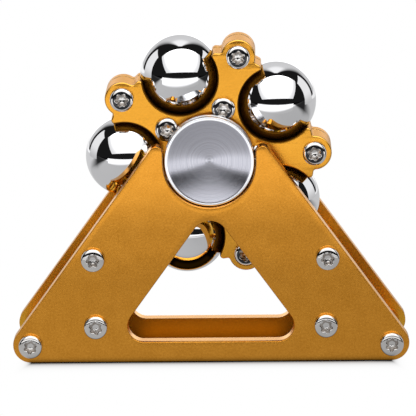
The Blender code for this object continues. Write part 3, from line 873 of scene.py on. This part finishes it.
def add_softbox():
    """The large lamp above the camera, brighter towards its top and dimmer at its sides."""
    aim = Vector((0.0, 0.0, 0.05))
    elevation = radians(50.7)
    azimuth = radians(5.5)
    distance = 0.34
    low_glow = 1.2
    high_glow = 2.5
    side_glow = 0.84
    direction = Vector((sin(azimuth) * cos(elevation), -cos(azimuth) * cos(elevation), sin(elevation)))
    lamp = bpy.data.lights.new("softbox", "AREA")
    lamp.shape = "RECTANGLE"
    lamp.size = 0.816
    lamp.size_y = 0.476
    lamp.energy = pi * lamp.size * lamp.size_y
    lamp.use_nodes = True
    tree = lamp.node_tree
    geometry = tree.nodes.new("ShaderNodeNewGeometry")
    spot = add_node(tree, "ShaderNodeSeparateXYZ", Vector=geometry.outputs["Parametric"])
    rise = map_range(tree, spot.outputs["Y"], 0.116, 0.868, low_glow, high_glow)
    from_other_side = math_node(tree, "SUBTRACT", 1.0, spot.outputs["X"])
    from_side = math_node(tree, "MINIMUM", spot.outputs["X"], from_other_side)
    full = map_range(tree, from_side, 0.04, 0.30, 0.0, 1.0, smooth=True)
    above_side = math_node(tree, "MULTIPLY", math_node(tree, "SUBTRACT", rise, side_glow), full)
    strength = math_node(tree, "ADD", above_side, side_glow)
    tree.links.new(strength, tree.nodes["Emission"].inputs["Strength"])
    softbox = bpy.data.objects.new("softbox", lamp)
    STUDIO.objects.link(softbox)
    softbox.location = aim + distance * direction
    softbox.rotation_mode = "QUATERNION"
    softbox.rotation_quaternion = direction.to_track_quat("Z", "Y")
    softbox.visible_camera = False


def add_cards():
    """Two upright cards beside the stand and a level one in front of it, all out of the camera's sight."""
    side_x = 0.40
    near_y = 0.005
    near_height = 0.37
    far_y = 0.28
    far_height = 0.46
    for side, name in ((-1, "side_card_left"), (1, "side_card_right")):
        x = side * side_x
        corners = [(x, near_y, 0.0), (x, far_y, 0.0), (x, far_y, far_height), (x, near_y, near_height)]
        card(name, corners, direction=(0.0, 0.0, 1.0), start=0.0, end=0.15, dim=0.55, bright=0.88)
    front_y = -0.070
    front_z = 0.0232
    away_y = -0.36
    away_z = 0.040
    corners = [(-0.10, front_y, front_z), (0.09, front_y, front_z)]
    corners += [(0.451, away_y, away_z), (-0.466, away_y, away_z)]
    level = card("front_card", corners, direction=(-0.20, -1.0, 0.0), start=0.0745, end=0.1045,
                 dim=0.5, bright=1.2)
    level.visible_shadow = False
    level.visible_diffuse = False


def table_brightness(tree, place):
    """How bright reflections see the table: grey, pale and dark in front, and pale behind the stand."""
    ahead = math_node(tree, "MULTIPLY", place.outputs["Y"], -1.0)
    sideways = math_node(tree, "ABSOLUTE", place.outputs["X"])
    wing = math_node(tree, "SUBTRACT", sideways, math_node(tree, "MAXIMUM", ahead, 0.0))
    front = map_range(tree, wing, 0.10, 0.20, 0.49, 0.02, smooth=True)
    paler = map_range(tree, ahead, 0.18, 0.28, 1.0, 2.2, smooth=True)
    darker = map_range(tree, ahead, 0.36, 0.45, 1.0, 0.03, smooth=True)
    for change in (paler, darker):
        front = math_node(tree, "MULTIPLY", front, change)
    near_behind = map_range(tree, ahead, -0.12, 0.03, 0.62, 0.0, smooth=True)
    far_behind = map_range(tree, ahead, -0.60, -0.25, 0.95, 0.0, smooth=True)
    behind = math_node(tree, "MAXIMUM", near_behind, far_behind)
    from_left = map_range(tree, place.outputs["X"], -0.04, 0.04, 1.07, 0.93)
    return math_node(tree, "MULTIPLY", math_node(tree, "MAXIMUM", front, behind), from_left)


def amber_patch(tree, place):
    """Where the table lies between the plates, and the golden light on it there."""
    ahead = math_node(tree, "MULTIPLY", place.outputs["Y"], -1.0)
    depth = math_node(tree, "ABSOLUTE", place.outputs["Y"])
    sideways = math_node(tree, "ABSOLUTE", place.outputs["X"])
    facing = tree.nodes.new("ShaderNodeLayerWeight").outputs["Facing"]
    between = math_node(tree, "MULTIPLY", map_range(tree, depth, 0.0115, 0.0125, 1.0, 0.0),
                        map_range(tree, sideways, 0.042, 0.046, 1.0, 0.0))
    in_middle = map_range(tree, sideways, 0.0145, 0.0205, 0.95, 0.06, smooth=True)
    at_feet = map_range(tree, sideways, 0.028, 0.036, 0.0, 0.6, smooth=True)
    amber = math_node(tree, "MAXIMUM", in_middle, at_feet)
    at_front = map_range(tree, ahead, 0.0, 0.0095, 1.0, 0.05, smooth=True)
    at_back = map_range(tree, ahead, -0.010, -0.001, 0.4, 1.0, smooth=True)
    from_above = map_range(tree, facing, 0.40, 0.65, 0.03, 1.0, smooth=True)
    for fade in (at_front, at_back, from_above):
        amber = math_node(tree, "MULTIPLY", amber, fade)
    return between, mix_colour(tree, amber, (0.0, 0.0, 0.0, 1.0), (1.0, 0.43, 0.0, 1.0))


def contact_shadow(tree, place):
    """A mask that is 1 under the stand and fades out round its feet, faster at the sides."""
    reach = 0.0019
    side_haste = 3.0
    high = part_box("rear_plate")[1]
    sideways = math_node(tree, "ABSOLUTE", place.outputs["X"])
    depth = math_node(tree, "ABSOLUTE", place.outputs["Y"])
    past_foot = math_node(tree, "SUBTRACT", sideways, high.x - FOOT_RADIUS)
    off_side = math_node(tree, "MULTIPLY", past_foot, side_haste)
    off_face = math_node(tree, "SUBTRACT", depth, high.y)
    off = math_node(tree, "MAXIMUM", math_node(tree, "MAXIMUM", off_side, off_face), 0.0)
    return math_node(tree, "EXPONENT", math_node(tree, "DIVIDE", off, -reach))


def pale_table():
    """White to the camera but for the shadow. Reflections see it grey, and amber between the plates."""
    material = bpy.data.materials.new("pale_table")
    material.use_nodes = True
    tree = material.node_tree
    tree.nodes.clear()
    light_path = tree.nodes.new("ShaderNodeLightPath")
    is_reflected = light_path.outputs["Is Glossy Ray"]
    geometry = tree.nodes.new("ShaderNodeNewGeometry")
    place = add_node(tree, "ShaderNodeSeparateXYZ", Vector=geometry.outputs["Position"])
    between, amber = amber_patch(tree, place)
    contact = contact_shadow(tree, place)
    tint = mix_colour(tree, math_node(tree, "MULTIPLY", between, is_reflected), (1.0, 1.0, 1.0, 1.0), amber)
    white = math_node(tree, "SUBTRACT", 1.0, contact)
    to_camera = math_node(tree, "MULTIPLY", light_path.outputs["Is Camera Ray"], white)
    unshaded = math_node(tree, "MAXIMUM", white, between)
    grey = math_node(tree, "MULTIPLY", table_brightness(tree, place), unshaded)
    reflected = math_node(tree, "MULTIPLY", is_reflected, grey)
    glow = add_node(tree, "ShaderNodeEmission", Color=tint,
                    Strength=math_node(tree, "ADD", reflected, to_camera))
    pale = add_node(tree, "ShaderNodeBsdfDiffuse", Color=(0.2, 0.2, 0.2, 1.0))
    black = add_node(tree, "ShaderNodeBsdfDiffuse", Color=(0.0, 0.0, 0.0, 1.0))
    shaded = math_node(tree, "MULTIPLY", math_node(tree, "SUBTRACT", 1.0, is_reflected), contact)
    body = add_node(tree, "ShaderNodeMixShader", _0=shaded, _1=black.outputs[0], _2=pale.outputs[0])
    total = add_node(tree, "ShaderNodeAddShader", _0=body.outputs[0], _1=glow.outputs[0])
    clear = tree.nodes.new("ShaderNodeBsdfTransparent")
    sided = add_node(tree, "ShaderNodeMixShader", _0=geometry.outputs["Backfacing"], _1=total.outputs[0],
                     _2=clear.outputs[0])
    output = tree.nodes.new("ShaderNodeOutputMaterial")
    tree.links.new(sided.outputs[0], output.inputs["Surface"])
    return material


def add_floor():
    """A wide table just under the stand's feet, clear from below."""
    reach = 4.0
    clearance = 0.0001
    mesh = bpy.data.meshes.new("table")
    corners = [(-reach, -reach, 0.0), (reach, -reach, 0.0), (reach, reach, 0.0), (-reach, reach, 0.0)]
    mesh.from_pydata(corners, [], [(0, 1, 2, 3)])
    mesh.materials.append(pale_table())
    floor = bpy.data.objects.new("table", mesh)
    floor.location = (0.0, 0.0, -clearance)
    STUDIO.objects.link(floor)


def room_brightness(tree, direction):
    """How bright reflections see the room: a pale sweep behind the object and a dark room in front."""
    dark_room = 0.012
    axes = add_node(tree, "ShaderNodeSeparateXYZ", Vector=direction)
    sideways = math_node(tree, "ABSOLUTE", axes.outputs["X"])
    backwards = axes.outputs["Y"]
    upwards = axes.outputs["Z"]
    width = math_node(tree, "SUBTRACT", sideways, math_node(tree, "MULTIPLY", backwards, 0.97))
    inside = map_range(tree, width, -0.08, 0.0, 1.0, 0.0, smooth=True)
    back = map_range(tree, backwards, 0.09, 0.12, 0.0, 1.0, smooth=True)
    ratio = math_node(tree, "DIVIDE", sideways, math_node(tree, "MAXIMUM", backwards, 0.05))
    corner = math_node(tree, "MULTIPLY", map_range(tree, ratio, 0.35, 1.0, 0.0, 1.0, smooth=True),
                       map_range(tree, upwards, 0.3, 0.6, 0.0, 1.0, smooth=True))
    inside = math_node(tree, "MULTIPLY", inside, math_node(tree, "SUBTRACT", 1.0, corner))
    sweep = math_node(tree, "MULTIPLY", inside, back)
    height = map_range(tree, upwards, -0.2, 0.8, 0.66, 0.86)
    overhead = add_node(tree, "ShaderNodeVectorMath", _0=direction, _1=(0.0, 0.26, 0.966))
    overhead.operation = "DOT_PRODUCT"
    glow = map_range(tree, overhead.outputs["Value"], 0.90, 0.99, 0.0, 0.40, smooth=True)
    pale = math_node(tree, "MULTIPLY", sweep, math_node(tree, "ADD", height, glow))
    horizon = math_node(tree, "MULTIPLY", map_range(tree, upwards, 0.22, 0.32, 1.8, 0.0, smooth=True),
                        map_range(tree, backwards, 0.85, 0.95, 0.0, 1.0, smooth=True))
    return math_node(tree, "ADD", math_node(tree, "MAXIMUM", pale, horizon), dark_room)


def add_world():
    """White to the camera, a soft fill for matt surfaces, and the room for reflections."""
    fill = 0.5
    world = bpy.data.worlds.new("photo_room")
    bpy.context.scene.world = world
    world.use_nodes = True
    tree = world.node_tree
    tree.nodes.clear()
    light_path = tree.nodes.new("ShaderNodeLightPath")
    room = room_brightness(tree, tree.nodes.new("ShaderNodeTexCoord").outputs["Generated"])
    ambient = math_node(tree, "MULTIPLY", light_path.outputs["Is Diffuse Ray"], fill)
    reflected = math_node(tree, "MULTIPLY", light_path.outputs["Is Glossy Ray"], room)
    unseen = math_node(tree, "ADD", ambient, reflected)
    level = math_node(tree, "ADD", unseen, light_path.outputs["Is Camera Ray"])
    sky = add_node(tree, "ShaderNodeBackground", Strength=level)
    output = tree.nodes.new("ShaderNodeOutputWorld")
    tree.links.new(sky.outputs[0], output.inputs["Surface"])


def add_camera():
    """A long lens a little above the object, slightly turned and rolled as in the photograph."""
    elevation = radians(11.226)
    yaw = radians(-0.819)
    roll = radians(0.621)
    distance = 0.876707
    target = Vector((-0.000386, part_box("front_plate")[0].y, 0.037402))
    forward = Vector((sin(yaw) * cos(elevation), cos(yaw) * cos(elevation), -sin(elevation)))
    level_right = forward.cross(Vector((0.0, 0.0, 1.0))).normalized()
    level_up = level_right.cross(forward)
    right = cos(roll) * level_right - sin(roll) * level_up
    up = sin(roll) * level_right + cos(roll) * level_up
    camera = bpy.data.objects.new("camera", bpy.data.cameras.new("camera"))
    STUDIO.objects.link(camera)
    place = Matrix((right, up, -forward)).transposed().to_4x4()
    place.translation = target - distance * forward
    camera.matrix_world = place
    camera.data.sensor_width = 36.0
    camera.data.lens = 321.0
    bpy.context.scene.camera = camera


add_softbox()
add_cards()
add_floor()
add_world()
add_camera()
bpy.context.scene.view_settings.view_transform = "Standard"
